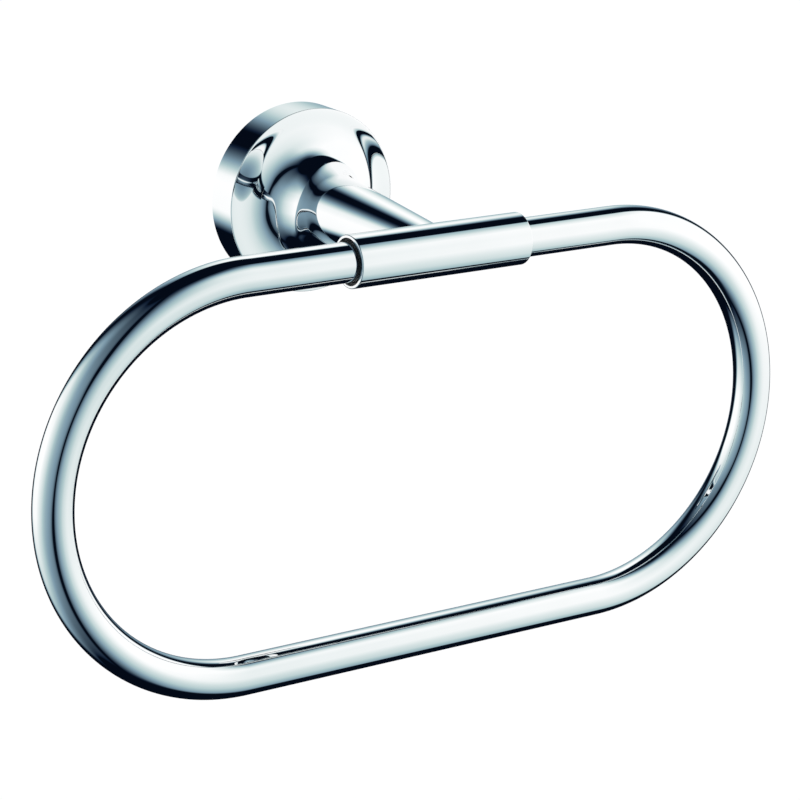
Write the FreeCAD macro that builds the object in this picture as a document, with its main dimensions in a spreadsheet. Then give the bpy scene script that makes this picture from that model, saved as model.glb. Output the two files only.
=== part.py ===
import FreeCAD, Part
import math
import os

import Sketcher
from FreeCAD import Placement, Rotation, Vector

# Wall-mounted towel ring, in millimetres.
# The origin is the centre of the flange where it meets the wall.
# +Z is up, the wall is the plane Y = 0 and the room lies towards -Y.

SIZES = {
    "flange_diameter": (54.0, "outside of the round wall flange"),
    "rim_depth": (10.8, "wall to the crisp front edge of the rim"),
    "flange_wall": (2.2, "wall of the flange's rim and of its brim"),
    "flare_depth": (24.0, "wall to the end of the flared face, where the post's plain cone begins"),
    "brim_pull": (12.0, "how far the flared face is drawn out from the rim's edge"),
    "brim_dish": (0.4, "how far it is drawn back towards the wall there, which makes the brim a shallow dish"),
    "root_pull": (8.5, "how far it is drawn out along the post's cone"),
    "core_mouth_diameter": (33.0, "hollow inside the flare, at the brim"),
    "core_end_diameter": (13.0, "that hollow at its deepest"),
    "core_depth": (18.0, "wall to the end of that hollow"),
    "plate_thickness": (2.5, "web of the mounting plate"),
    "collar_depth": (8.0, "wall to the front of the plate's collar"),
    "collar_wall": (3.0, "wall of the plate's collar"),
    "collar_clearance": (0.1, "between the collar and the flange's bore, on the radius"),
    "plate_hole_spacing": (30.0, "between the two wall screw holes"),
    "plate_hole_diameter": (5.2, "wall screw holes"),
    "groove_middle": (5.2, "wall to the middle of the groove in the collar"),
    "groove_depth": (1.0, "depth of that groove, and half its width"),
    "grub_diameter": (4.0, "thread of the locking screw"),
    "grub_recess": (0.3, "rim to the end of the locking screw"),
    "grub_tip_clearance": (0.15, "between the screw's tip and the groove"),
    "grub_socket": (2.0, "hexagon key of the locking screw, across flats"),
    "grub_socket_depth": (1.5, "depth of that hexagon"),
    "thread_clearance": (0.05, "between that screw and its thread, on the radius"),
    "post_root_diameter": (20.6, "the post's cone where the flared face ends"),
    "post_tip_diameter": (12.4, "the post's cone where it would meet the sleeve's axis"),
    "reach": (75.0, "wall to the sleeve's axis"),
    "sleeve_diameter": (14.6, "outside of the sleeve"),
    "sleeve_bore": (13.0, "inside of the sleeve"),
    "sleeve_length": (55.0, "end to end"),
    "sleeve_edge": (0.3, "rounded outer edge of the sleeve's ends"),
    "bush_length": (14.0, "each bush in the sleeve"),
    "bush_recess": (1.0, "sleeve's end to the face of the bush"),
    "bush_seat_clearance": (0.02, "between bush and sleeve, on the radius"),
    "bush_edge": (0.25, "chamfer at the mouth of each bush"),
    "ring_clearance": (0.05, "between bush and ring, on the radius"),
    "tube_diameter": (11.0, "outside of the ring's tube"),
    "tube_wall": (1.2, "wall of the ring's tube"),
    "straight_length": (118.0, "straight runs of the ring"),
    "ring_height": (112.0, "between the middles of the two straight runs"),
    "joiner_play": (0.3, "between the joiner's collar and each bush, along the sleeve"),
    "joiner_collar_clearance": (0.3, "between the joiner's collar and the sleeve, on the radius"),
    "joiner_seat_clearance": (0.02, "between the joiner and the tube's bore, on the radius"),
    "joiner_spigot_length": (12.0, "joiner inside each end of the tube"),
}


class Measure:
    """A length or a share that carries its value and the formula that gives it on the sheet."""

    def __init__(self, value, formula):
        self.value = value
        self.formula = formula

    def __add__(self, other):
        return Measure(self.value + other.value, f"({self.formula} + {other.formula})")

    def __sub__(self, other):
        return Measure(self.value - other.value, f"({self.formula} - {other.formula})")

    def __mul__(self, factor):
        if isinstance(factor, Measure):
            return Measure(self.value * factor.value, f"({self.formula} * {factor.formula})")
        return Measure(self.value * factor, f"({self.formula} * {factor})")

    def __truediv__(self, divisor):
        if isinstance(divisor, Measure):
            return Measure(self.value / divisor.value, f"({self.formula} / {divisor.formula})")
        return Measure(self.value / divisor, f"({self.formula} / {divisor})")

    def __neg__(self):
        return Measure(-self.value, f"(0 mm - {self.formula})")


ZERO = Measure(0.0, "0 mm")


def make_sheet():
    """The sheet of driving dimensions, one row each."""
    sheet = doc.addObject("Spreadsheet::Sheet", "sizes")
    for row, (name, (value, note)) in enumerate(SIZES.items(), start=1):
        sheet.set(f"A{row}", name)
        sheet.set(f"B{row}", str(value))
        sheet.setAlias(f"B{row}", name)
        sheet.set(f"C{row}", note)
    doc.recompute()
    return {name: Measure(value, f"sizes.{name} * 1 mm") for name, (value, note) in SIZES.items()}


doc = FreeCAD.newDocument("towel_ring")
size = make_sheet()
nodes = []

# Lengths that several pieces share

rim_radius = size["flange_diameter"] / 2
rim_bore_radius = rim_radius - size["flange_wall"]
collar_radius = rim_bore_radius - size["collar_clearance"]
sleeve_radius = size["sleeve_diameter"] / 2
sleeve_bore_radius = size["sleeve_bore"] / 2
sleeve_half = size["sleeve_length"] / 2
tube_radius = size["tube_diameter"] / 2
tube_bore_radius = tube_radius - size["tube_wall"]
bush_outer_end = sleeve_half - size["bush_recess"]
bush_inner_end = bush_outer_end - size["bush_length"]
joiner_half = bush_inner_end - size["joiner_play"]
straight_half = size["straight_length"] / 2
bend_radius = size["ring_height"] / 2


def new_body(name, depth=ZERO):
    """A named body whose own origin lies a depth in front of the wall."""
    body = doc.addObject("PartDesign::Body", name)
    body.Label = name
    body.Placement = Placement(Vector(0, 0, 0), Rotation())
    body.setExpression(".Placement.Base.y", (-depth).formula)
    nodes.append(body)
    return body


def new_sketch(body, name, role, lift=ZERO):
    """A sketch on one of the body's origin planes, lifted along the plane's normal."""
    sketch = body.newObject("Sketcher::SketchObject", name)
    sketch.AttachmentSupport = [(plane, "") for plane in body.Origin.OriginFeatures if plane.Role == role]
    sketch.MapMode = "FlatFace"
    sketch.setExpression(".AttachmentOffset.Base.z", lift.formula)
    return sketch


def hold_point(sketch, geometry, point, across, up, name):
    """Keeps a point of the sketch at its distances from the sketch's origin."""
    for kind, length in (("DistanceX", across), ("DistanceY", up)):
        index = sketch.addConstraint(Sketcher.Constraint(kind, -1, 1, geometry, point, length.value))
        sketch.renameConstraint(index, f"{name}_{kind}")
        sketch.setExpression(f"Constraints.{name}_{kind}", length.formula)


def hold_radius(sketch, geometry, radius, name):
    """Keeps the radius of an arc or a circle."""
    index = sketch.addConstraint(Sketcher.Constraint("Radius", geometry, radius.value))
    sketch.renameConstraint(index, f"{name}_radius")
    sketch.setExpression(f"Constraints.{name}_radius", radius.formula)


def arc_centre(start, end, radius, side):
    """Centre of an arc between two points; side +1 puts it to the left of the way from start to end."""
    half = (end - start) * 0.5
    rise = math.sqrt(max(radius**2 - half.Length**2, 0.0))
    left = Vector(-half.y, half.x, 0).normalize()
    return start + half + left * (side * rise)


def add_arc(sketch, centre, start, end):
    """An arc of less than half a turn, and the numbers of its points at start and end."""
    circle = Part.Circle(centre, Vector(0, 0, 1), (start - centre).Length)
    if (start - centre).cross(end - centre).z > 0:
        return sketch.addGeometry(Part.ArcOfCircle(circle, circle.parameter(start), circle.parameter(end))), 1, 2
    return sketch.addGeometry(Part.ArcOfCircle(circle, circle.parameter(end), circle.parameter(start))), 2, 1


def add_flare(sketch, start, end, pulls, name):
    """A curve that leaves one corner towards the first pull and reaches the other from the second."""
    inner = [Vector(across.value, up.value, 0) for across, up in pulls]
    curve = Part.BSplineCurve([start, *inner, end], None, None, False, 3, None, False)
    geometry = sketch.addGeometry(curve)
    for pole, (across, up) in enumerate(pulls, start=1):
        place = Vector(across.value, up.value, 0)
        mark = sketch.addGeometry(Part.Circle(place, Vector(0, 0, 1), 1), True)
        sketch.addConstraint(Sketcher.Constraint("Weight", mark, 1.0))
        sketch.addConstraint(Sketcher.Constraint(
            "InternalAlignment:Sketcher::BSplineControlPoint", mark, 3, geometry, pole))
        hold_point(sketch, mark, 3, across, up, f"{name}_pull_{pole}")
    return geometry, 1, 2


def draw_edges(sketch, corners, closed=True):
    """A chain of edges whose corners are held to the sheet, closed to an outline or left open.

    A corner is (across, up). A third entry shapes the edge that ends there: (radius, side) makes it
    an arc whose centre lies on that side, and [pull, pull] a curve drawn out towards those points.
    """
    places = [Vector(across.value, up.value, 0) for across, up, *shape in corners]
    starts = {}
    ends = {}
    for index, (across, up, *shape) in enumerate(corners):
        if index == 0 and not closed:
            continue
        start, end = places[index - 1], places[index]
        if not shape:
            geometry, first, last = sketch.addGeometry(Part.LineSegment(start, end)), 1, 2
        elif isinstance(shape[0], list):
            geometry, first, last = add_flare(sketch, start, end, shape[0], f"edge_{index}")
        else:
            radius, side = shape[0]
            geometry, first, last = add_arc(sketch, arc_centre(start, end, radius.value, side), start, end)
            hold_radius(sketch, geometry, radius, f"edge_{index}")
        starts[(index - 1) % len(corners)] = (geometry, first)
        ends[index] = (geometry, last)
    for index, (across, up, *shape) in enumerate(corners):
        if index in starts and index in ends:
            sketch.addConstraint(Sketcher.Constraint("Coincident", *ends[index], *starts[index]))
        point = starts.get(index, ends.get(index))
        hold_point(sketch, *point, across, up, f"corner_{index}")


def draw_circle(sketch, across, up, radius, name):
    """A circle held to the sheet."""
    centre = Vector(across.value, up.value, 0)
    geometry = sketch.addGeometry(Part.Circle(centre, Vector(0, 0, 1), radius.value))
    hold_radius(sketch, geometry, radius, name)
    hold_point(sketch, geometry, 3, across, up, name)


def draw_hexagon(sketch, flats, across=ZERO, up=ZERO):
    """A hexagon by its width across flats."""
    corners = []
    for step in range(6):
        angle = math.radians(60 * step)
        corner_across = flats * round(math.cos(angle) / math.sqrt(3), 6)
        corner_up = flats * round(math.sin(angle) / math.sqrt(3), 6)
        corners.append((across + corner_across, up + corner_up))
    draw_edges(sketch, corners)


def turn(body, name, role, corners, axis="H_Axis"):
    """Turns an outline once round one of the axes of its own sketch."""
    sketch = new_sketch(body, f"{name}_outline", role)
    draw_edges(sketch, corners)
    feature = body.newObject("PartDesign::Revolution", name)
    feature.Profile = sketch
    feature.ReferenceAxis = (sketch, [axis])
    feature.Angle = 360
    return feature


def cut(body, name, sketch, depth=None, against_normal=True):
    """Cuts a sketch into the body to a depth, or right through, on one side of the sketch."""
    feature = body.newObject("PartDesign::Pocket", name)
    feature.Profile = sketch
    feature.Reversed = not against_normal
    if depth is None:
        feature.Type = "ThroughAll"
    else:
        feature.Type = "Length"
        feature.setExpression("Length", depth.formula)
    return feature


def make_mounting_plate():
    """Round plate on the wall, with a grooved collar round it and two screw holes."""
    body = new_body("mounting_plate")
    collar_bore_radius = collar_radius - size["collar_wall"]
    turn(body, "plate", "YZ_Plane", [
        (ZERO, ZERO),
        (-size["plate_thickness"], ZERO),
        (-size["plate_thickness"], collar_bore_radius),
        (-size["collar_depth"], collar_bore_radius),
        (-size["collar_depth"], collar_radius),
        (-(size["groove_middle"] + size["groove_depth"]), collar_radius),
        (-size["groove_middle"], collar_radius - size["groove_depth"]),
        (size["groove_depth"] - size["groove_middle"], collar_radius),
        (ZERO, collar_radius),
    ])
    holes = new_sketch(body, "wall_screw_circles", "XZ_Plane")
    half_spacing = size["plate_hole_spacing"] / 2
    draw_circle(holes, ZERO, half_spacing, size["plate_hole_diameter"] / 2, "upper")
    draw_circle(holes, ZERO, -half_spacing, size["plate_hole_diameter"] / 2, "lower")
    cut(body, "wall_screw_holes", holes, against_normal=False)


def make_flanged_post():
    """Tapering post that flares out into the flange in one sweep, hollow behind, a saddle at its tip."""
    body = new_body("flanged_post")
    brim_back_depth = size["rim_depth"] - size["flange_wall"]
    root_radius = size["post_root_diameter"] / 2
    tip_radius = size["post_tip_diameter"] / 2
    taper = (root_radius - tip_radius) / (size["reach"] - size["flare_depth"])
    brim_pull = (size["brim_dish"] - size["rim_depth"], rim_radius - size["brim_pull"])
    root_pull = (size["root_pull"] - size["flare_depth"], root_radius + size["root_pull"] * taper)
    turn(body, "flare_and_cone", "YZ_Plane", [
        (ZERO, rim_radius),
        (-size["rim_depth"], rim_radius),
        (-size["flare_depth"], root_radius, [brim_pull, root_pull]),
        (-size["reach"], tip_radius),
        (-size["reach"], ZERO),
        (-size["core_depth"], ZERO),
        (-size["core_depth"], size["core_end_diameter"] / 2),
        (-brim_back_depth, size["core_mouth_diameter"] / 2),
        (-brim_back_depth, rim_bore_radius),
        (ZERO, rim_bore_radius),
    ])
    thread = new_sketch(body, "grub_thread_circle", "XY_Plane")
    draw_circle(thread, ZERO, -size["groove_middle"], size["grub_diameter"] / 2, "thread")
    cut(body, "grub_thread", thread)
    for side, against_normal in (("left", True), ("right", False)):
        saddle = new_sketch(body, f"{side}_saddle_circle", "YZ_Plane")
        draw_circle(saddle, -size["reach"], ZERO, sleeve_radius, "saddle")
        cut(body, f"{side}_saddle", saddle, against_normal=against_normal)


def make_grub_screw():
    """Locking screw through the underside of the rim, its cone in the plate's groove."""
    body = new_body("grub_screw", size["groove_middle"])
    radius = size["grub_diameter"] / 2 - size["thread_clearance"]
    tip = collar_radius - size["groove_depth"] + size["grub_tip_clearance"]
    end = rim_radius - size["grub_recess"]
    turn(body, "shank", "YZ_Plane", [
        (ZERO, -tip),
        (ZERO, -end),
        (radius, -end),
        (radius, -(tip + radius)),
    ], axis="V_Axis")
    socket = new_sketch(body, "key_hexagon", "XY_Plane", lift=-end)
    draw_hexagon(socket, size["grub_socket"])
    cut(body, "key_socket", socket, size["grub_socket_depth"], against_normal=False)


def make_sleeve():
    """Short tube across the post's end, its outer edges rounded."""
    body = new_body("sleeve", size["reach"])
    edge = size["sleeve_edge"]
    turn(body, "tube", "XZ_Plane", [
        (-sleeve_half, sleeve_bore_radius),
        (-sleeve_half, sleeve_radius - edge),
        (edge - sleeve_half, sleeve_radius, (edge, -1)),
        (sleeve_half - edge, sleeve_radius),
        (sleeve_half, sleeve_radius - edge, (edge, -1)),
        (sleeve_half, sleeve_bore_radius),
    ])


def make_bush(name, side):
    """Liner in one end of the sleeve that the ring turns in; side is -1 on the left and 1 on the right."""
    body = new_body(name, size["reach"])
    seat_radius = sleeve_bore_radius - size["bush_seat_clearance"]
    bore_radius = tube_radius + size["ring_clearance"]
    edge = size["bush_edge"]
    turn(body, "liner", "XZ_Plane", [
        (bush_inner_end * side, bore_radius),
        (bush_inner_end * side, seat_radius),
        (bush_outer_end * side, seat_radius),
        (bush_outer_end * side, bore_radius + edge),
        ((bush_outer_end - edge) * side, bore_radius),
    ])


def make_ring_joiner():
    """Spigot in both ends of the ring's tube, with a collar between the bushes."""
    body = new_body("ring_joiner", size["reach"])
    collar_radius_in_sleeve = sleeve_bore_radius - size["joiner_collar_clearance"]
    spigot_radius_in_tube = tube_bore_radius - size["joiner_seat_clearance"]
    joiner_end = joiner_half + size["joiner_spigot_length"]
    turn(body, "joiner", "XZ_Plane", [
        (-joiner_end, ZERO),
        (-joiner_end, spigot_radius_in_tube),
        (-joiner_half, spigot_radius_in_tube),
        (-joiner_half, collar_radius_in_sleeve),
        (joiner_half, collar_radius_in_sleeve),
        (joiner_half, spigot_radius_in_tube),
        (joiner_end, spigot_radius_in_tube),
        (joiner_end, ZERO),
    ])


def make_ring():
    """Round tube bent to a stadium that hangs from the sleeve."""
    body = new_body("ring", size["reach"])
    path = new_sketch(body, "tube_path", "XZ_Plane")
    bend = (bend_radius, -1)
    drop = bend_radius * 2
    draw_edges(path, [
        (joiner_half, ZERO),
        (straight_half, ZERO),
        (straight_half + bend_radius, -bend_radius, bend),
        (straight_half, -drop, bend),
        (-straight_half, -drop),
        (-(straight_half + bend_radius), -bend_radius, bend),
        (-straight_half, ZERO, bend),
        (-joiner_half, ZERO),
    ], closed=False)
    section = new_sketch(body, "tube_section", "YZ_Plane", lift=joiner_half)
    draw_circle(section, ZERO, ZERO, tube_radius, "outside")
    draw_circle(section, ZERO, ZERO, tube_bore_radius, "inside")
    tube = body.newObject("PartDesign::AdditivePipe", "tube")
    tube.Profile = section
    tube.Spine = (path, [])


def check_and_write():
    """Refuses a failed or empty piece, and writes each one to its own file."""
    for item in doc.Objects:
        if "Invalid" in item.State or "Error" in item.State:
            raise RuntimeError(f"{item.Name} failed: {item.State}")
    for body in nodes:
        shape = body.Shape
        if shape.isNull() or not shape.isValid() or len(shape.Solids) != 1:
            raise RuntimeError(f"{body.Label} is not one valid solid")
    os.makedirs("parts", exist_ok=True)
    for body in nodes:
        body.Shape.exportStep(f"parts/{body.Label}.step")


def main():
    make_mounting_plate()
    make_flanged_post()
    make_grub_screw()
    make_sleeve()
    make_bush("left_bush", -1)
    make_bush("right_bush", 1)
    make_ring()
    make_ring_joiner()
    doc.recompute()
    check_and_write()


main()
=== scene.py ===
import math

import bmesh
import bpy
from mathutils import Matrix, Vector


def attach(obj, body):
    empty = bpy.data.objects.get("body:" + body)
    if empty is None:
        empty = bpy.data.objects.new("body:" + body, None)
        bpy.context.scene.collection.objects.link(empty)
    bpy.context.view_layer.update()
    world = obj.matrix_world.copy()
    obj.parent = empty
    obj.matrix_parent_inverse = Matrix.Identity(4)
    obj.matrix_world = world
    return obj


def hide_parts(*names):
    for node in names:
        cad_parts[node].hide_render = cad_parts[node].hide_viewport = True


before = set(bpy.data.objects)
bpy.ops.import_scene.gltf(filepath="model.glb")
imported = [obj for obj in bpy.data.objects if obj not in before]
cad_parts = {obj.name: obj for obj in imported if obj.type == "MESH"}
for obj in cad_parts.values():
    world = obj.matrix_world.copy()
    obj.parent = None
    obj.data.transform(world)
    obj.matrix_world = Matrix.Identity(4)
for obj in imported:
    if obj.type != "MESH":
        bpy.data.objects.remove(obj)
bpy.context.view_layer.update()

bl_info = {
    "name": "Towel ring",
    "version": (1, 0, 0),
    "blender": (4, 5, 0),
    "location": "3D View > Sidebar > Towel ring",
    "description": "Chrome towel ring dressed around its CAD frame",
    "category": "Object",
}

# Steps that no setting gives.
CONE_STEPS = 24
SADDLE_TRIES = 30
SADDLE_SHARES = (1, 0.8, 0.6, 0.4, 0.2)
ROUNDING_DEGREES = (75, 60, 45, 30, 15)
DRILL_SIDES = 64
SHARP_ANGLE = math.radians(50)
NEAR_RADIUS = 5e-6
NEAR_DEPTH = 1e-6


# Properties

def length(name, description, default, low=0.0, high=1.0):
    """A size in metres."""
    return bpy.props.FloatProperty(
        name=name, description=description, default=default, min=low, max=high,
        precision=5, subtype="DISTANCE", unit="LENGTH")


def color(name, description, default):
    """A colour."""
    return bpy.props.FloatVectorProperty(
        name=name, description=description, default=default, size=3, subtype="COLOR", min=0, max=1)


def count(name, description, default):
    """A number of steps."""
    return bpy.props.IntProperty(name=name, description=description, default=default, min=3, max=2000)


def angle(name, description, default):
    """An angle in radians."""
    return bpy.props.FloatProperty(
        name=name, description=description, default=default, subtype="ANGLE", unit="ROTATION")


class TOWELRING_PG_ring(bpy.types.PropertyGroup):
    tube_radius: length("Tube radius", "Outside of the ring's tube", 0.0055)
    bore_radius: length("Bore radius", "Inside of the ring's tube", 0.0043)
    straight_half: length("Half straight", "Half of each straight run", 0.059)
    bend_radius: length("Bend radius", "Middle line of the two bends", 0.056)
    reach: length("Reach", "Wall to the ring's plane", 0.075)
    end_half: length("End", "Middle of the sleeve to each end of the tube", 0.0122)
    steps: count("Steps", "Steps along the tube", 760)
    bore_steps: count("Bore steps", "Steps along the bore", 120)
    sides: count("Sides", "Sides of the tube's section", 96)


class TOWELRING_PG_flanged_post(bpy.types.PropertyGroup):
    rim_radius: length("Rim radius", "Outside of the round flange", 0.027)
    rim_bore_radius: length("Rim bore", "Inside of the flange's rim", 0.0248)
    rim_depth: length("Rim depth", "Wall to the front edge of the rim", 0.0108)
    rim_edge: length("Rim edge", "Rounding of the rim's front edge", 0.0002)
    brim_pull: length("Brim pull", "How far the flared face is drawn in from the rim's edge", 0.012)
    brim_dish: length("Brim dish", "How far it is drawn back there", 0.0018)
    lip_drop: length("Lip drop", "How far the brim's lip rolls back to the rim's edge", 0.0004)
    lip_width: length("Lip width", "Width of that rolled lip", 0.006)
    root_pull: length("Root pull", "How far it is drawn out along the post", 0.0085)
    flare_depth: length("Flare depth", "Wall to the end of the flared face", 0.024)
    root_radius: length("Root radius", "The post where the flared face ends", 0.0103)
    tip_radius: length("Tip radius", "The post's cone at the sleeve's axis", 0.0062)
    brim_back: length("Brim back", "Wall to the back of the brim", 0.0086)
    core_mouth_radius: length("Core mouth", "Hollow inside the flare, at the brim", 0.0165)
    core_end_radius: length("Core end", "That hollow at its deepest", 0.0065)
    core_depth: length("Core depth", "Wall to the end of that hollow", 0.018)
    screw_radius: length("Screw hole", "Threaded hole under the rim", 0.002)
    screw_depth: length("Screw hole depth", "Wall to the middle of that hole", 0.0052)
    flare_steps: count("Flare steps", "Steps along the flared face", 180)
    sides: count("Sides", "Steps round the post", 256)


class TOWELRING_PG_sleeve(bpy.types.PropertyGroup):
    radius: length("Radius", "Outside of the sleeve", 0.0073)
    bore_radius: length("Bore radius", "Inside of the sleeve", 0.0065)
    half_length: length("Half length", "Middle to each end", 0.0275)
    edge: length("Edge", "Rounding of the outer edges", 0.0003)
    reach: length("Reach", "Wall to the sleeve's axis", 0.075)
    sides: count("Sides", "Steps round the sleeve", 256)


class TOWELRING_PG_finish(bpy.types.PropertyGroup):
    chrome_color: color("Chrome", "Colour of the polished chrome plate", (0.95, 0.955, 0.96))
    chrome_roughness: bpy.props.FloatProperty(
        name="Chrome roughness", description="Blur of the reflections in the chrome plate",
        default=0.006, min=0, max=1, subtype="FACTOR")
    zinc_color: color("Zinc plate", "Colour of the plate behind the flange", (0.60, 0.62, 0.64))
    oxide_color: color("Black oxide", "Colour of the locking screw", (0.055, 0.056, 0.06))
    nylon_color: color("Nylon", "Colour of the liners in the sleeve", (0.012, 0.0125, 0.014))
    brass_color: color("Brass", "Colour of the joiner inside the sleeve", (0.72, 0.54, 0.24))


class TOWELRING_PG_stage(bpy.types.PropertyGroup):
    camera_place: bpy.props.FloatVectorProperty(
        name="Camera", description="Where the camera stands",
        default=(-0.40371, -0.67536, 0.18574), size=3, subtype="TRANSLATION", unit="LENGTH")
    camera_yaw: angle("Camera yaw", "Turn of the camera to the right of straight at the wall", 0.5803)
    camera_pitch: angle("Camera pitch", "How far the camera looks down", 0.3060)
    camera_roll: angle("Camera roll", "Turn of the camera about its own line of sight", -0.0239)
    camera_lens: bpy.props.FloatProperty(
        name="Lens", description="Focal length on a 36 mm sensor",
        default=124.07, min=10, max=400, unit="CAMERA")
    floor_drop: length("Floor drop", "How far the floor lies below the fixing", 0.45, 0.2, 2)
    tent_radius: length("Tent radius", "Radius of the light tent that the chrome mirrors", 0.8, 0.5, 5)
    tent_centre: bpy.props.FloatVectorProperty(
        name="Tent centre", description="Middle of the light tent",
        default=(0.0, -0.03, -0.02), size=3, subtype="TRANSLATION", unit="LENGTH")


# Nodes

def feed(tree, value, target):
    """Links a socket to a target, or sets the target's value."""
    if isinstance(value, bpy.types.NodeSocket):
        tree.links.new(value, target)
    else:
        target.default_value = value


def math_node(tree, operation, a, b=0.0, c=None):
    """The result of one arithmetic step."""
    node = tree.nodes.new("ShaderNodeMath")
    node.operation = operation
    feed(tree, a, node.inputs[0])
    feed(tree, b, node.inputs[1])
    if c is not None:
        feed(tree, c, node.inputs[2])
    return node.outputs[0]


def map_range(tree, value, low, high, out_low=0.0, out_high=1.0, smooth=True):
    """A value carried from one range to another, with soft ends."""
    node = tree.nodes.new("ShaderNodeMapRange")
    node.interpolation_type = "SMOOTHSTEP" if smooth else "LINEAR"
    feed(tree, value, node.inputs["Value"])
    for name, number in (("From Min", low), ("From Max", high), ("To Min", out_low), ("To Max", out_high)):
        feed(tree, number, node.inputs[name])
    return node.outputs["Result"]


def ramp(tree, value, stops):
    """A colour ramp; each stop is (place, red, green, blue)."""
    node = tree.nodes.new("ShaderNodeValToRGB")
    elements = node.color_ramp.elements
    while len(elements) < len(stops):
        elements.new(0.5)
    for element, (at, *tone) in zip(elements, stops):
        element.position = at
        element.color = (*tone, 1)
    tree.links.new(value, node.inputs[0])
    return node.outputs[0]


def object_place(tree, stretch=(1, 1, 1)):
    """The object's own coordinates, stretched."""
    mapping = tree.nodes.new("ShaderNodeMapping")
    mapping.inputs["Scale"].default_value = stretch
    tree.links.new(tree.nodes.new("ShaderNodeTexCoord").outputs["Object"], mapping.inputs["Vector"])
    return mapping.outputs[0]


def noise(tree, place, scale, detail=2.0, rough=0.5):
    """Soft noise over a place, about 0.5."""
    node = tree.nodes.new("ShaderNodeTexNoise")
    tree.links.new(place, node.inputs["Vector"])
    node.inputs["Scale"].default_value = scale
    node.inputs["Detail"].default_value = detail
    node.inputs["Roughness"].default_value = rough
    return node.outputs["Fac"]


def bump(tree, height, strength, distance):
    """A surface normal raised by a height."""
    node = tree.nodes.new("ShaderNodeBump")
    node.inputs["Strength"].default_value = strength
    node.inputs["Distance"].default_value = distance
    tree.links.new(height, node.inputs["Height"])
    return node.outputs[0]


def shaded(tree, base, low, high, value):
    """A base colour, darker where the value is low and lighter where it is high."""
    return ramp(tree, value, ((0.25, *(c * low for c in base)), (0.75, *(min(c * high, 1) for c in base))))


def new_material(name):
    """A material with its tree and its Principled shader."""
    material = bpy.data.materials.new(name)
    material.use_nodes = True
    return material, material.node_tree, material.node_tree.nodes["Principled BSDF"]


# Finishes

def make_chrome(finish):
    """Polished chrome plate, with a trace of polishing haze and of unevenness under the plate."""
    material, tree, shader = new_material("chrome_plate_finish")
    haze = noise(tree, object_place(tree), 60, 3)
    tree.links.new(shaded(tree, finish.chrome_color, 0.985, 1.01, haze), shader.inputs["Base Color"])
    shader.inputs["Metallic"].default_value = 1.0
    shader.inputs["Roughness"].default_value = finish.chrome_roughness
    tree.links.new(bump(tree, haze, 0.01, 0.00005), shader.inputs["Normal"])
    return material


def make_zinc(finish):
    """Dull zinc plate: a fine crystal mottle, turning marks and a slightly uneven tone."""
    material, tree, shader = new_material("zinc_plated_steel_finish")
    place = object_place(tree)
    crystals = tree.nodes.new("ShaderNodeTexVoronoi")
    crystals.inputs["Scale"].default_value = 420
    tree.links.new(place, crystals.inputs["Vector"])
    tone = noise(tree, place, 90, 4, 0.6)
    marks = tree.nodes.new("ShaderNodeTexWave")
    marks.wave_type = "RINGS"
    marks.rings_direction = "Y"
    marks.inputs["Scale"].default_value = 900
    marks.inputs["Distortion"].default_value = 0.6
    tree.links.new(place, marks.inputs["Vector"])
    part_tone = math_node(tree, "MULTIPLY", tone, 0.7)
    mottle = math_node(tree, "MULTIPLY_ADD", crystals.outputs["Distance"], 0.5, part_tone)
    tree.links.new(shaded(tree, finish.zinc_color, 0.9, 1.06, mottle), shader.inputs["Base Color"])
    shader.inputs["Metallic"].default_value = 1.0
    tree.links.new(map_range(tree, tone, 0.3, 0.7, 0.36, 0.42), shader.inputs["Roughness"])
    height = math_node(tree, "MULTIPLY_ADD", marks.outputs["Fac"], 0.6, mottle)
    tree.links.new(bump(tree, height, 0.25, 0.00003), shader.inputs["Normal"])
    return material


def make_oxide(finish):
    """Black oxide on the locking screw, faintly uneven."""
    material, tree, shader = new_material("black_steel_finish")
    place = object_place(tree)
    grain = noise(tree, place, 1500, 4, 0.65)
    patch = noise(tree, place, 350, 2)
    tree.links.new(shaded(tree, finish.oxide_color, 0.85, 1.2, patch), shader.inputs["Base Color"])
    tree.links.new(map_range(tree, patch, 0.55, 0.75, 0.75, 0.95), shader.inputs["Metallic"])
    tree.links.new(map_range(tree, grain, 0.3, 0.7, 0.32, 0.5), shader.inputs["Roughness"])
    tree.links.new(bump(tree, grain, 0.2, 0.00002), shader.inputs["Normal"])
    return material


def make_nylon(finish):
    """Matt moulded nylon: fine grain and a slightly uneven gloss."""
    material, tree, shader = new_material("nylon_finish")
    grain = noise(tree, object_place(tree), 2400, 3, 0.6)
    patch = noise(tree, object_place(tree, (0.3, 1, 1)), 260, 2)
    tree.links.new(shaded(tree, finish.nylon_color, 0.8, 1.35, patch), shader.inputs["Base Color"])
    tree.links.new(map_range(tree, patch, 0.35, 0.7, 0.42, 0.62), shader.inputs["Roughness"])
    tree.links.new(bump(tree, grain, 0.3, 0.00003), shader.inputs["Normal"])
    return material


def make_brass(finish):
    """Turned brass: tool marks round the joiner and a slightly uneven tone."""
    material, tree, shader = new_material("bare_brass_finish")
    marks = noise(tree, object_place(tree, (40, 1, 1)), 260, 2)
    tone = noise(tree, object_place(tree), 180, 4, 0.6)
    tree.links.new(shaded(tree, finish.brass_color, 0.92, 1.04, tone), shader.inputs["Base Color"])
    shader.inputs["Metallic"].default_value = 1.0
    tree.links.new(map_range(tree, tone, 0.3, 0.7, 0.2, 0.36), shader.inputs["Roughness"])
    tree.links.new(bump(tree, marks, 0.25, 0.00002), shader.inputs["Normal"])
    return material


FINISHES = {
    "chrome_plate": make_chrome,
    "zinc_plated_steel": make_zinc,
    "black_steel": make_oxide,
    "nylon": make_nylon,
    "bare_brass": make_brass,
}
CARRIED = {
    "mounting_plate": "zinc_plated_steel",
    "grub_screw": "black_steel",
    "left_bush": "nylon",
    "right_bush": "nylon",
    "ring_joiner": "bare_brass",
}


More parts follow.
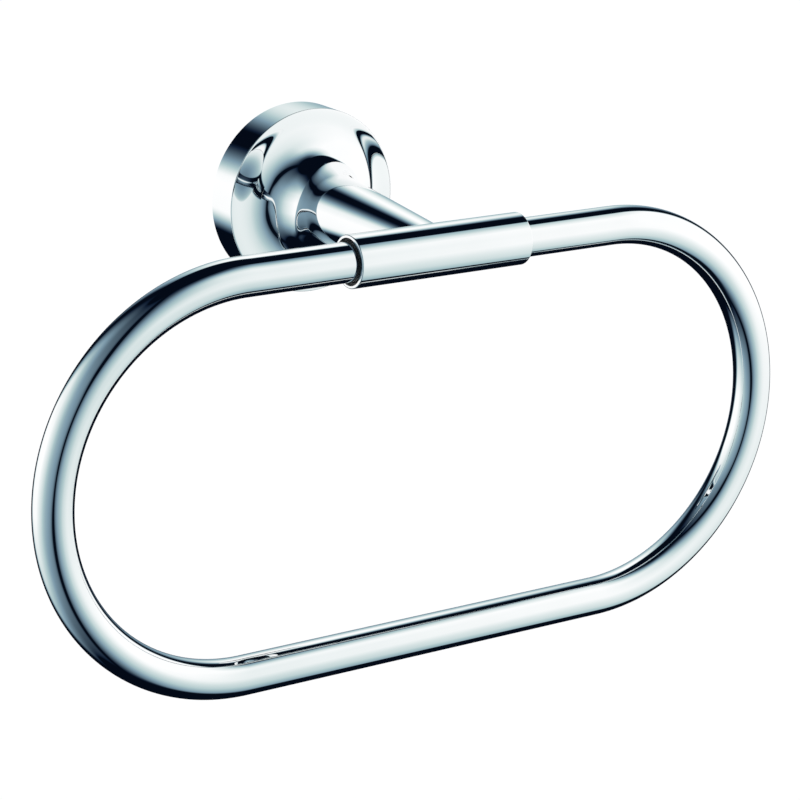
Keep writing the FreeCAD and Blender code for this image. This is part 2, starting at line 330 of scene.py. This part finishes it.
def finish_material(name):
    """The finish of that name, made when it is first needed."""
    return bpy.data.materials.get(name + "_finish") or FINISHES[name](bpy.context.scene.towelring_finish)


def add_chrome_piece(mesh, name, body, node):
    """Puts a finished chrome mesh in the scene in place of a CAD node."""
    piece = bpy.data.objects.new(name, mesh)
    bpy.context.scene.collection.objects.link(piece)
    mesh.materials.clear()
    mesh.materials.append(finish_material("chrome_plate"))
    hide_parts(node)
    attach(piece, body)
    return piece


# Ring

def clamp_node(tree, value, low, high):
    """A value held between two others."""
    return math_node(tree, "MINIMUM", math_node(tree, "MAXIMUM", value, low), high)


def ring_tree():
    """A tube that follows the ring's line: two straight runs and two half-circle bends."""
    tree = bpy.data.node_groups.new("ring_tube", "GeometryNodeTree")
    face = tree.interface
    for name in ("Tube radius", "Bore radius", "Half straight", "Bend radius", "Reach", "End"):
        face.new_socket(name=name, in_out="INPUT", socket_type="NodeSocketFloat")
    for name in ("Steps", "Bore steps", "Sides"):
        face.new_socket(name=name, in_out="INPUT", socket_type="NodeSocketInt")
    face.new_socket(name="Finish", in_out="INPUT", socket_type="NodeSocketMaterial")
    face.new_socket(name="Geometry", in_out="OUTPUT", socket_type="NodeSocketGeometry")
    given = tree.nodes.new("NodeGroupInput").outputs
    half, bend = given["Half straight"], given["Bend radius"]
    half_turn = math_node(tree, "MULTIPLY", bend, math.pi)
    run_two = math_node(tree, "ADD", half, half_turn)
    bend_two = math_node(tree, "MULTIPLY_ADD", half, 2.0, run_two)
    run_three = math_node(tree, "ADD", bend_two, half_turn)
    whole = math_node(tree, "ADD", run_three, half)
    factor = tree.nodes.new("GeometryNodeSplineParameter").outputs["Factor"]
    open_length = math_node(tree, "MULTIPLY_ADD", given["End"], -2.0, whole)
    along = math_node(tree, "MULTIPLY_ADD", factor, open_length, given["End"])

    def past(start, limit):
        return clamp_node(tree, math_node(tree, "SUBTRACT", along, start), 0.0, limit)

    def turn(start):
        return math_node(tree, "DIVIDE", past(start, half_turn), bend)

    first, second = turn(half), turn(bend_two)
    across = math_node(tree, "SUBTRACT", math_node(tree, "SINE", first), math_node(tree, "SINE", second))
    down = math_node(tree, "SUBTRACT", math_node(tree, "COSINE", first), math_node(tree, "COSINE", second))
    runs = math_node(tree, "ADD", past(0.0, half), past(run_three, half))
    runs = math_node(tree, "SUBTRACT", runs, past(run_two, math_node(tree, "MULTIPLY", half, 2.0)))
    point = tree.nodes.new("ShaderNodeCombineXYZ")
    tree.links.new(math_node(tree, "MULTIPLY_ADD", across, bend, runs), point.inputs[0])
    tree.links.new(math_node(tree, "MULTIPLY", given["Reach"], -1.0), point.inputs[1])
    tree.links.new(math_node(tree, "MULTIPLY", down, bend), point.inputs[2])
    join = tree.nodes.new("GeometryNodeJoinGeometry")
    for steps, radius in (("Steps", "Tube radius"), ("Bore steps", "Bore radius")):
        line = tree.nodes.new("GeometryNodeCurvePrimitiveLine")
        divide = tree.nodes.new("GeometryNodeResampleCurve")
        tree.links.new(line.outputs[0], divide.inputs["Curve"])
        tree.links.new(given[steps], divide.inputs["Count"])
        bent = tree.nodes.new("GeometryNodeSetPosition")
        tree.links.new(divide.outputs[0], bent.inputs["Geometry"])
        tree.links.new(point.outputs[0], bent.inputs["Position"])
        section = tree.nodes.new("GeometryNodeCurvePrimitiveCircle")
        tree.links.new(given["Sides"], section.inputs["Resolution"])
        tree.links.new(given[radius], section.inputs["Radius"])
        tube = tree.nodes.new("GeometryNodeCurveToMesh")
        tree.links.new(bent.outputs[0], tube.inputs["Curve"])
        tree.links.new(section.outputs[0], tube.inputs["Profile Curve"])
        tree.links.new(tube.outputs[0], join.inputs[0])
    whole_tube = tree.nodes.new("GeometryNodeRealizeInstances")
    tree.links.new(join.outputs[0], whole_tube.inputs[0])
    smooth = tree.nodes.new("GeometryNodeSetShadeSmooth")
    tree.links.new(whole_tube.outputs[0], smooth.inputs[0])
    dressed = tree.nodes.new("GeometryNodeSetMaterial")
    tree.links.new(smooth.outputs[0], dressed.inputs["Geometry"])
    tree.links.new(given["Finish"], dressed.inputs["Material"])
    tree.links.new(dressed.outputs[0], tree.nodes.new("NodeGroupOutput").inputs[0])
    return tree


def grown_mesh(tree, values, name):
    """The plain mesh that a tree makes from its named inputs."""
    maker = bpy.data.objects.new(name + "_maker", bpy.data.meshes.new(name + "_maker"))
    bpy.context.scene.collection.objects.link(maker)
    modifier = maker.modifiers.new("made", "NODES")
    modifier.node_group = tree
    for item in tree.interface.items_tree:
        if item.in_out == "INPUT":
            modifier[item.identifier] = values[item.name]
    bpy.context.view_layer.update()
    mesh = bpy.data.meshes.new_from_object(maker.evaluated_get(bpy.context.evaluated_depsgraph_get()))
    mesh.name = name
    maker.modifiers.clear()
    bpy.data.objects.remove(maker)
    return mesh


def close_tube_ends(mesh):
    """Joins the outside and the bore at both open ends, and points every face outwards."""
    work = bmesh.new()
    work.from_mesh(mesh)
    for side in (-1, 1):
        edges = [edge for edge in work.edges if edge.is_boundary and edge.verts[0].co.x * side > 0]
        closed = bmesh.ops.bridge_loops(work, edges=edges)
        for edge in edges:
            edge.smooth = False
        for face in closed["faces"]:
            face.smooth = False
    bmesh.ops.recalc_face_normals(work, faces=work.faces)
    work.to_mesh(mesh)
    work.free()


# Turned pieces

def turned_mesh(name, rings, sides, place, closed):
    """A turned mesh. Each ring is (depth, radius, sharp), and a ring without radius is a pole."""
    work = bmesh.new()
    rows = []
    for depth, radius, _ in rings:
        turns = [2 * math.pi * side / sides for side in range(sides)] if radius else [0]
        rows.append([work.verts.new(place(depth, radius, turn)) for turn in turns])
    pairs = list(zip(rows, rows[1:]))
    if closed:
        pairs.append((rows[-1], rows[0]))
    for row, after in pairs:
        for side in range(sides):
            corners = []
            for ring, at in ((row, side), (row, side + 1), (after, side + 1), (after, side)):
                vertex = ring[at % len(ring)]
                if vertex not in corners:
                    corners.append(vertex)
            work.faces.new(corners)
    for row, (_, _, sharp) in zip(rows, rings):
        if sharp:
            for one, two in zip(row, row[1:] + row[:1]):
                work.edges.get((one, two)).smooth = False
    for face in work.faces:
        face.smooth = True
    bmesh.ops.recalc_face_normals(work, faces=work.faces)
    mesh = bpy.data.meshes.new(name)
    work.to_mesh(mesh)
    work.free()
    return mesh


def rounded_edge(depth, radius, edge, way):
    """Rings of a rounded outer edge that looks along the axis in the given way."""
    rings = []
    for degrees in ROUNDING_DEGREES:
        turn = math.radians(degrees)
        rings.append((depth - way * edge * (1 - math.cos(turn)), radius - edge * (1 - math.sin(turn)), False))
    return rings


def flare_rings(sizes, taper):
    """The flared face: a curve drawn out from the rim's edge and from the post's cone, with a rolled lip."""
    brim = sizes.rim_depth + sizes.lip_drop
    corners = (
        (brim, sizes.rim_radius),
        (brim - sizes.brim_dish, sizes.rim_radius - sizes.brim_pull),
        (sizes.flare_depth - sizes.root_pull, sizes.root_radius + sizes.root_pull * taper),
        (sizes.flare_depth, sizes.root_radius),
    )
    rings = []
    for step in range(sizes.flare_steps + 1):
        k = step / sizes.flare_steps
        shares = ((1 - k) ** 3, 3 * (1 - k) ** 2 * k, 3 * (1 - k) * k * k, k ** 3)
        depth, radius = (sum(part * corner[axis] for part, corner in zip(shares, corners)) for axis in (0, 1))
        lip = max(0.0, 1 - (sizes.rim_radius - radius) / sizes.lip_width)
        if radius < sizes.rim_radius - 1.2 * sizes.rim_edge:
            rings.append((depth - sizes.lip_drop * lip ** 3, radius, False))
    return rings


def flanged_post_mesh(sizes, sleeve):
    """The post with its flange, hollow behind, and saddled to the sleeve."""
    rim, depth, edge = sizes.rim_radius, sizes.rim_depth, sizes.rim_edge
    taper = (sizes.root_radius - sizes.tip_radius) / (sleeve.reach - sizes.flare_depth)

    def cone_radius(ahead):
        return sizes.root_radius - taper * (ahead - sizes.flare_depth)

    def saddle_point(share, turn):
        ahead = sleeve.reach
        for _ in range(SADDLE_TRIES):
            up = cone_radius(ahead) * math.sin(turn)
            ahead = sleeve.reach - math.sqrt(sleeve.radius ** 2 - up ** 2)
        up *= share
        across = share * cone_radius(ahead) * math.cos(turn)
        return Vector((across, math.sqrt(sleeve.radius ** 2 - up ** 2) - sleeve.reach, up))

    def place(ahead, radius, turn):
        if ahead is None:
            return saddle_point(radius, turn)
        return Vector((radius * math.cos(turn), -ahead, radius * math.sin(turn)))

    hollow = [
        (sizes.core_depth, 0, False),
        (sizes.core_depth, sizes.core_end_radius, True),
        (sizes.brim_back, sizes.core_mouth_radius, True),
        (sizes.brim_back, sizes.rim_bore_radius, True),
        (0, sizes.rim_bore_radius, True),
    ]
    side = [(0, rim, True), (0.3 * depth, rim, False), (0.8 * depth, rim, False)]
    side += [(depth - 1.5 * edge, rim, False), (depth - edge, rim, False)]
    side += rounded_edge(depth, rim, edge, 1)
    run = sleeve.reach - sleeve.radius - sizes.flare_depth
    cone = []
    for step in range(1, CONE_STEPS):
        ahead = sizes.flare_depth + run * step / CONE_STEPS
        cone.append((ahead, cone_radius(ahead), False))
    saddle = [(None, share, share == 1) for share in SADDLE_SHARES]
    saddle.append((sleeve.reach - sleeve.radius, 0, False))
    rings = hollow + side + flare_rings(sizes, taper) + cone + saddle
    return turned_mesh("flanged_post", rings, sizes.sides, place, False)


def drill_screw_hole(piece, sizes):
    """Cuts the locking screw's hole under the rim, and keeps the rim's own round normals."""
    work = bmesh.new()
    low = Matrix.Translation((0, -sizes.screw_depth, -sizes.rim_radius))
    bmesh.ops.create_cone(
        work, cap_ends=True, segments=DRILL_SIDES, radius1=sizes.screw_radius, radius2=sizes.screw_radius,
        depth=3 * (sizes.rim_radius - sizes.rim_bore_radius), matrix=low)
    drill_mesh = bpy.data.meshes.new("drill")
    work.to_mesh(drill_mesh)
    work.free()
    drill = bpy.data.objects.new("drill", drill_mesh)
    bpy.context.scene.collection.objects.link(drill)
    cut = piece.modifiers.new("hole", "BOOLEAN")
    cut.operation = "DIFFERENCE"
    cut.solver = "EXACT"
    cut.object = drill
    bpy.context.view_layer.update()
    mesh = bpy.data.meshes.new_from_object(piece.evaluated_get(bpy.context.evaluated_depsgraph_get()))
    piece.modifiers.clear()
    bpy.data.objects.remove(drill)
    work = bmesh.new()
    work.from_mesh(mesh)
    for edge in work.edges:
        if edge.is_manifold and edge.calc_face_angle() > SHARP_ANGLE:
            edge.smooth = False
    work.to_mesh(mesh)
    work.free()
    normals = [corner.vector.copy() for corner in mesh.corner_normals]
    front = sizes.rim_edge - sizes.rim_depth
    for face in mesh.polygons:
        points = [mesh.vertices[index].co for index in face.vertices]
        on_rim = all(
            abs(math.hypot(p.x, p.z) - sizes.rim_radius) < NEAR_RADIUS and p.y > front - NEAR_DEPTH
            for p in points)
        if on_rim:
            for corner, point in zip(face.loop_indices, points):
                normals[corner] = Vector((point.x, 0, point.z)).normalized()
    mesh.normals_split_custom_set(normals)
    piece.data = mesh


def sleeve_mesh(sizes):
    """The plain sleeve with rounded outer edges."""
    end, edge, radius = sizes.half_length, sizes.edge, sizes.radius
    left = [(-end, sizes.bore_radius, True), (-end, radius - edge, False)]
    left += rounded_edge(-end, radius, edge, -1)[::-1]
    left += [(-end + edge, radius, False), (-end + 1.5 * edge, radius, False)]
    right = [(-depth, ring_radius, sharp) for depth, ring_radius, sharp in left[::-1]]

    def place(along, ring_radius, turn):
        return Vector((along, ring_radius * math.cos(turn) - sizes.reach, ring_radius * math.sin(turn)))

    return turned_mesh("sleeve", left + right, sizes.sides, place, True)


# Stage

# The light tent that the chrome mirrors has three soft fields, and the dark slit through which the lens
# looks. Its angles are in degrees: the turn is 0 in front and 90 to the right, the height above the horizon.
LENS_TURN = -31.5
FULL_TURN = 360.0
# Light by the angle from the slit, to the left and to the right.
LEFT_SHADE = (
    (0, 0), (2, 0), (5, 0.12), (11, 0.24), (34, 0.4), (44, 0.52), (54, 0.68), (64, 0.8), (84, 1),
)
RIGHT_SHADE = (
    (0, 0), (2.5, 0), (6.5, 0.15), (16, 0.34), (26, 0.49), (36, 0.63), (46, 0.79), (66, 0.95), (78, 1),
)
# Light by the height, in the left, the right and the back field.
LEFT_HEIGHT = (
    (-70, 0), (-56, 0.27), (-40, 0.66), (-20, 0.97), (4, 1), (24, 0.84), (40, 0.48), (56, 0.21), (70, 0),
)
RIGHT_HEIGHT = (
    (-66, 0), (-60, 0.34), (-40, 0.7), (-24, 0.84), (-4, 1), (40, 0.98), (48, 0.8), (64, 0.1), (70, 0),
)
BACK_HEIGHT = ((-22, 0), (-8, 0.28), (8, 0.5), (24, 0.85), (34, 1), (49, 0.96), (53, 0))
# Where the fields end: start or end turn, and how much each degree of height moves it.
LEFT_START, LEFT_START_SLOPE = 13.0, 0.25
LEFT_END, LEFT_END_SLOPE_UP, LEFT_END_SLOPE_DOWN = 22.0, 1.2, 0.6
RIGHT_MIDDLE_HEIGHT, RIGHT_LEVEL_HALF, RIGHT_CURVE = 3.0, 11.0, 0.018
RIGHT_END, RIGHT_GONE = 104.0, 109.0
# The right field takes on the left field's heights nearer to the slit than these turns.
NEAR_TURN, FAR_TURN = -28.0, 18.0
BACK_START, BACK_FULL, BACK_FALL = 118.0, 140.0, 150.0
BACK_END_LOW, BACK_END_HIGH = 166.0, 190.0
# The slit widens by this much above and below the horizon.
SLIT_WIDENING = 3.0
TENT_LIGHT = 1.06
TENT_DIVISIONS = 5
# Tint of the light: navy in the dark, blue-grey in the middle and white at the top.
TINT = (
    (0, 0.0012, 0.003, 0.008),
    (0.013, 0.0056, 0.013, 0.032),
    (0.30, 0.205, 0.319, 0.397),
    (0.53, 0.413, 0.558, 0.578),
    (0.74, 0.672, 0.76, 0.76),
    (1, 1, 1, 1),
)

FLOOR_HALF = 40.0
LAMP_ENERGY = 1.6
LAMP_WIDTH = math.radians(35)
LAMP_TURN = (math.radians(35), math.radians(-20), 0)


def shade(tree, value, steps):
    """A grey that follows the given steps of value and light."""
    low, high = steps[0][0], steps[-1][0]
    stops = [((at - low) / (high - low), light, light, light) for at, light in steps]
    return ramp(tree, map_range(tree, value, low, high, smooth=False), stops)


def product(tree, *factors):
    """The product of several values."""
    made = factors[0]
    for factor in factors[1:]:
        made = math_node(tree, "MULTIPLY", made, factor)
    return made


def left_field(tree, from_lens, turn, height):
    """Light on the left, which fades round the back, sooner the higher or lower it is."""
    high = math_node(tree, "MAXIMUM", height, 0.0)
    low = math_node(tree, "MAXIMUM", math_node(tree, "MULTIPLY", height, -1.0), 0.0)
    start = math_node(tree, "MULTIPLY_ADD", math_node(tree, "ADD", high, low), LEFT_START_SLOPE, LEFT_START)
    end = math_node(tree, "MULTIPLY_ADD", high, LEFT_END_SLOPE_UP, LEFT_END)
    end = math_node(tree, "MULTIPLY_ADD", low, LEFT_END_SLOPE_DOWN, end)
    back = map_range(tree, math_node(tree, "ADD", turn, 180.0), start, end)
    across = shade(tree, math_node(tree, "MULTIPLY", from_lens, -1.0), LEFT_SHADE)
    return product(tree, across, shade(tree, height, LEFT_HEIGHT), back)


def right_field(tree, from_lens, turn, height):
    """Light on the right, with an edge that curves in at the top and the bottom."""
    off = math_node(tree, "ABSOLUTE", math_node(tree, "SUBTRACT", height, RIGHT_MIDDLE_HEIGHT))
    off = math_node(tree, "MAXIMUM", math_node(tree, "SUBTRACT", off, RIGHT_LEVEL_HALF), 0.0)
    edge = math_node(tree, "MULTIPLY_ADD", math_node(tree, "MULTIPLY", off, off), RIGHT_CURVE, turn)
    limit = map_range(tree, edge, RIGHT_END, RIGHT_GONE, 1.0, 0.0)
    share = map_range(tree, turn, NEAR_TURN, FAR_TURN)
    far, near = shade(tree, height, RIGHT_HEIGHT), shade(tree, height, LEFT_HEIGHT)
    up = math_node(tree, "MULTIPLY_ADD", share, math_node(tree, "SUBTRACT", far, near), near)
    return product(tree, shade(tree, from_lens, RIGHT_SHADE), up, limit)


def back_field(tree, turn, height):
    """The pale backdrop, seen past the wall side."""
    full = math_node(tree, "FLOORED_MODULO", turn, FULL_TURN)
    end = map_range(tree, height, -4.0, 12.0, BACK_END_LOW, BACK_END_HIGH)
    fall = map_range(tree, full, BACK_FALL, end, 1.0, 0.0)
    rise = map_range(tree, full, BACK_START, BACK_FULL)
    return product(tree, rise, fall, shade(tree, height, BACK_HEIGHT))


def tent_light(tree, place):
    """The light of the tent in the direction of a place."""
    ahead = tree.nodes.new("ShaderNodeVectorMath")
    ahead.operation = "NORMALIZE"
    tree.links.new(place, ahead.inputs[0])
    split = tree.nodes.new("ShaderNodeSeparateXYZ")
    tree.links.new(ahead.outputs[0], split.inputs[0])
    x, y, z = split.outputs
    turn = math_node(tree, "DEGREES", math_node(tree, "ARCTAN2", x, math_node(tree, "MULTIPLY", y, -1.0)))
    height = math_node(tree, "DEGREES", math_node(tree, "ARCSINE", z))
    widening = map_range(tree, math_node(tree, "ABSOLUTE", height), 10.0, 25.0, 0.0, SLIT_WIDENING)
    signed = math_node(tree, "SUBTRACT", turn, LENS_TURN)
    size = math_node(tree, "SUBTRACT", math_node(tree, "ABSOLUTE", signed), widening)
    from_lens = product(tree, math_node(tree, "MAXIMUM", size, 0.0), math_node(tree, "SIGN", signed))
    left = left_field(tree, from_lens, turn, height)
    light = math_node(tree, "MAXIMUM", left, right_field(tree, from_lens, turn, height))
    return ramp(tree, math_node(tree, "MAXIMUM", light, back_field(tree, turn, height)), TINT)


def make_tent(scene, stage):
    """The surroundings that the chrome mirrors: soft fields of light, and the dark slit of the lens."""
    work = bmesh.new()
    bmesh.ops.create_icosphere(work, subdivisions=TENT_DIVISIONS, radius=stage.tent_radius)
    mesh = bpy.data.meshes.new("light_tent")
    work.to_mesh(mesh)
    work.free()
    tent = bpy.data.objects.new("light_tent", mesh)
    tent.location = stage.tent_centre
    scene.collection.objects.link(tent)
    material = bpy.data.materials.new("light_tent")
    material.use_nodes = True
    tree = material.node_tree
    tree.nodes.clear()
    glow = tree.nodes.new("ShaderNodeEmission")
    tree.links.new(tent_light(tree, object_place(tree)), glow.inputs[0])
    glow.inputs[1].default_value = TENT_LIGHT
    tree.links.new(glow.outputs[0], tree.nodes.new("ShaderNodeOutputMaterial").inputs[0])
    material.cycles.emission_sampling = "NONE"
    mesh.materials.append(material)
    tent.visible_camera = False
    tent.visible_diffuse = False
    tent.visible_shadow = False


def make_world(scene):
    """White for the camera and in reflections, and a plain level for the rest."""
    world = bpy.data.worlds.new("plain_light")
    scene.world = world
    world.use_nodes = True
    tree = world.node_tree
    tree.nodes.clear()
    plain = tree.nodes.new("ShaderNodeBackground")
    plain.inputs[0].default_value = (0.75, 0.76, 0.78, 1)
    white = tree.nodes.new("ShaderNodeBackground")
    white.inputs[0].default_value = (1, 1, 1, 1)
    path = tree.nodes.new("ShaderNodeLightPath")
    seen = math_node(tree, "MAXIMUM", path.outputs["Is Glossy Ray"], path.outputs["Is Transmission Ray"])
    seen = math_node(tree, "MAXIMUM", path.outputs["Is Camera Ray"], seen)
    mix = tree.nodes.new("ShaderNodeMixShader")
    tree.links.new(seen, mix.inputs[0])
    tree.links.new(plain.outputs[0], mix.inputs[1])
    tree.links.new(white.outputs[0], mix.inputs[2])
    tree.links.new(mix.outputs[0], tree.nodes.new("ShaderNodeOutputWorld").inputs[0])


def make_camera(scene, stage):
    """The photograph's viewpoint."""
    yaw, pitch, roll = stage.camera_yaw, stage.camera_pitch, stage.camera_roll
    ahead = Vector((math.sin(yaw) * math.cos(pitch), math.cos(yaw) * math.cos(pitch), -math.sin(pitch)))
    level = Vector((math.cos(yaw), -math.sin(yaw), 0))
    below = ahead.cross(level)
    across = math.cos(roll) * level + math.sin(roll) * below
    down = -math.sin(roll) * level + math.cos(roll) * below
    camera = bpy.data.objects.new("camera", bpy.data.cameras.new("camera"))
    scene.collection.objects.link(camera)
    camera.data.lens = stage.camera_lens
    camera.data.sensor_width = 36
    turn = Matrix((across, -down, -ahead)).transposed().to_4x4()
    camera.matrix_world = Matrix.Translation(stage.camera_place) @ turn
    scene.camera = camera


def make_floor(scene, stage):
    """A plain pale floor far below, which keeps the object's shadow."""
    half, z = FLOOR_HALF, -stage.floor_drop
    mesh = bpy.data.meshes.new("floor")
    corners = [(-half, -half, z), (half, -half, z), (half, half, z), (-half, half, z)]
    mesh.from_pydata(corners, [], [(0, 1, 2, 3)])
    floor = bpy.data.objects.new("floor", mesh)
    scene.collection.objects.link(floor)
    material = bpy.data.materials.new("floor")
    material.use_nodes = True
    tree = material.node_tree
    tree.nodes.clear()
    glow = tree.nodes.new("ShaderNodeEmission")
    glow.inputs[0].default_value = (1, 1, 1, 1)
    glow.inputs[1].default_value = 1.0
    matt = tree.nodes.new("ShaderNodeBsdfDiffuse")
    matt.inputs[0].default_value = (0.9, 0.9, 0.9, 1)
    path = tree.nodes.new("ShaderNodeLightPath")
    share = math_node(tree, "MULTIPLY", path.outputs["Is Camera Ray"], 0.5)
    mix = tree.nodes.new("ShaderNodeMixShader")
    tree.links.new(share, mix.inputs[0])
    tree.links.new(matt.outputs[0], mix.inputs[1])
    tree.links.new(glow.outputs[0], mix.inputs[2])
    tree.links.new(mix.outputs[0], tree.nodes.new("ShaderNodeOutputMaterial").inputs[0])
    mesh.materials.append(material)
    floor.visible_glossy = False


def make_soft_light(scene):
    """One broad soft lamp from above, which the chrome doesn't mirror."""
    lamp = bpy.data.objects.new("soft_light", bpy.data.lights.new("soft_light", "SUN"))
    scene.collection.objects.link(lamp)
    lamp.data.energy = LAMP_ENERGY
    lamp.data.angle = LAMP_WIDTH
    lamp.rotation_euler = LAMP_TURN
    lamp.visible_glossy = False


# Operators

class TOWELRING_OT_stage(bpy.types.Operator):
    """Sets up the camera, the floor, the soft light and the light tent"""
    bl_idname = "towelring.stage"
    bl_label = "Stage"

    def execute(self, context):
        scene = context.scene
        stage = scene.towelring_stage
        make_camera(scene, stage)
        make_world(scene)
        make_floor(scene, stage)
        make_soft_light(scene)
        make_tent(scene, stage)
        scene.view_settings.view_transform = "Standard"
        return {"FINISHED"}


class TOWELRING_OT_ring(bpy.types.Operator):
    """Makes the oval ring of round tube"""
    bl_idname = "towelring.ring"
    bl_label = "Ring"

    def execute(self, context):
        sizes = context.scene.towelring_ring
        values = {
            "Tube radius": sizes.tube_radius,
            "Bore radius": sizes.bore_radius,
            "Half straight": sizes.straight_half,
            "Bend radius": sizes.bend_radius,
            "Reach": sizes.reach,
            "End": sizes.end_half,
            "Steps": sizes.steps,
            "Bore steps": sizes.bore_steps,
            "Sides": sizes.sides,
            "Finish": finish_material("chrome_plate"),
        }
        mesh = grown_mesh(ring_tree(), values, "ring_tube")
        close_tube_ends(mesh)
        add_chrome_piece(mesh, "ring_tube", "ring", "ring")
        return {"FINISHED"}


class TOWELRING_OT_flanged_post(bpy.types.Operator):
    """Makes the post that flares out into the round flange"""
    bl_idname = "towelring.flanged_post"
    bl_label = "Flanged post"

    def execute(self, context):
        scene = context.scene
        mesh = flanged_post_mesh(scene.towelring_flanged_post, scene.towelring_sleeve)
        piece = add_chrome_piece(mesh, "flared_post", "holder", "flanged_post")
        drill_screw_hole(piece, scene.towelring_flanged_post)
        return {"FINISHED"}


class TOWELRING_OT_sleeve(bpy.types.Operator):
    """Makes the sleeve in which the ring swings"""
    bl_idname = "towelring.sleeve"
    bl_label = "Sleeve"

    def execute(self, context):
        mesh = sleeve_mesh(context.scene.towelring_sleeve)
        add_chrome_piece(mesh, "plain_sleeve", "holder", "sleeve")
        return {"FINISHED"}


class TOWELRING_OT_hidden_pieces(bpy.types.Operator):
    """Gives the plate, the locking screw, the liners and the joiner their finishes"""
    bl_idname = "towelring.hidden_pieces"
    bl_label = "Hidden pieces"

    def execute(self, context):
        for name, finish in CARRIED.items():
            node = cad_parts[name]
            if not node.material_slots:
                node.data.materials.append(None)
            for each in node.material_slots:
                each.material = finish_material(finish)
        return {"FINISHED"}


class TOWELRING_PT_panel(bpy.types.Panel):
    """Lists the steps and sizes of the towel ring"""
    bl_idname = "TOWELRING_PT_panel"
    bl_label = "Towel ring"
    bl_space_type = "VIEW_3D"
    bl_region_type = "UI"
    bl_category = "Towel ring"

    def draw(self, context):
        for group in GROUPS:
            box = self.layout.box()
            sizes = getattr(context.scene, group)
            for name in sizes.bl_rna.properties.keys():
                if name not in ("rna_type", "name"):
                    box.prop(sizes, name)
        for step in STEPS:
            self.layout.operator(step)


STEPS = (
    "towelring.stage",
    "towelring.flanged_post",
    "towelring.sleeve",
    "towelring.ring",
    "towelring.hidden_pieces",
)
GROUPS = {
    "towelring_ring": TOWELRING_PG_ring,
    "towelring_flanged_post": TOWELRING_PG_flanged_post,
    "towelring_sleeve": TOWELRING_PG_sleeve,
    "towelring_finish": TOWELRING_PG_finish,
    "towelring_stage": TOWELRING_PG_stage,
}
TOOLS = (
    TOWELRING_OT_stage,
    TOWELRING_OT_flanged_post,
    TOWELRING_OT_sleeve,
    TOWELRING_OT_ring,
    TOWELRING_OT_hidden_pieces,
    TOWELRING_PT_panel,
)


def register():
    for name, group in GROUPS.items():
        bpy.utils.register_class(group)
        setattr(bpy.types.Scene, name, bpy.props.PointerProperty(type=group))
    for tool in TOOLS:
        bpy.utils.register_class(tool)


def unregister():
    for tool in reversed(TOOLS):
        bpy.utils.unregister_class(tool)
    for name, group in reversed(GROUPS.items()):
        delattr(bpy.types.Scene, name)
        bpy.utils.unregister_class(group)


def main():
    """Makes the whole scene."""
    register()
    for step in STEPS:
        group, name = step.split(".")
        getattr(getattr(bpy.ops, group), name)()


if __name__ == "__main__":
    main()
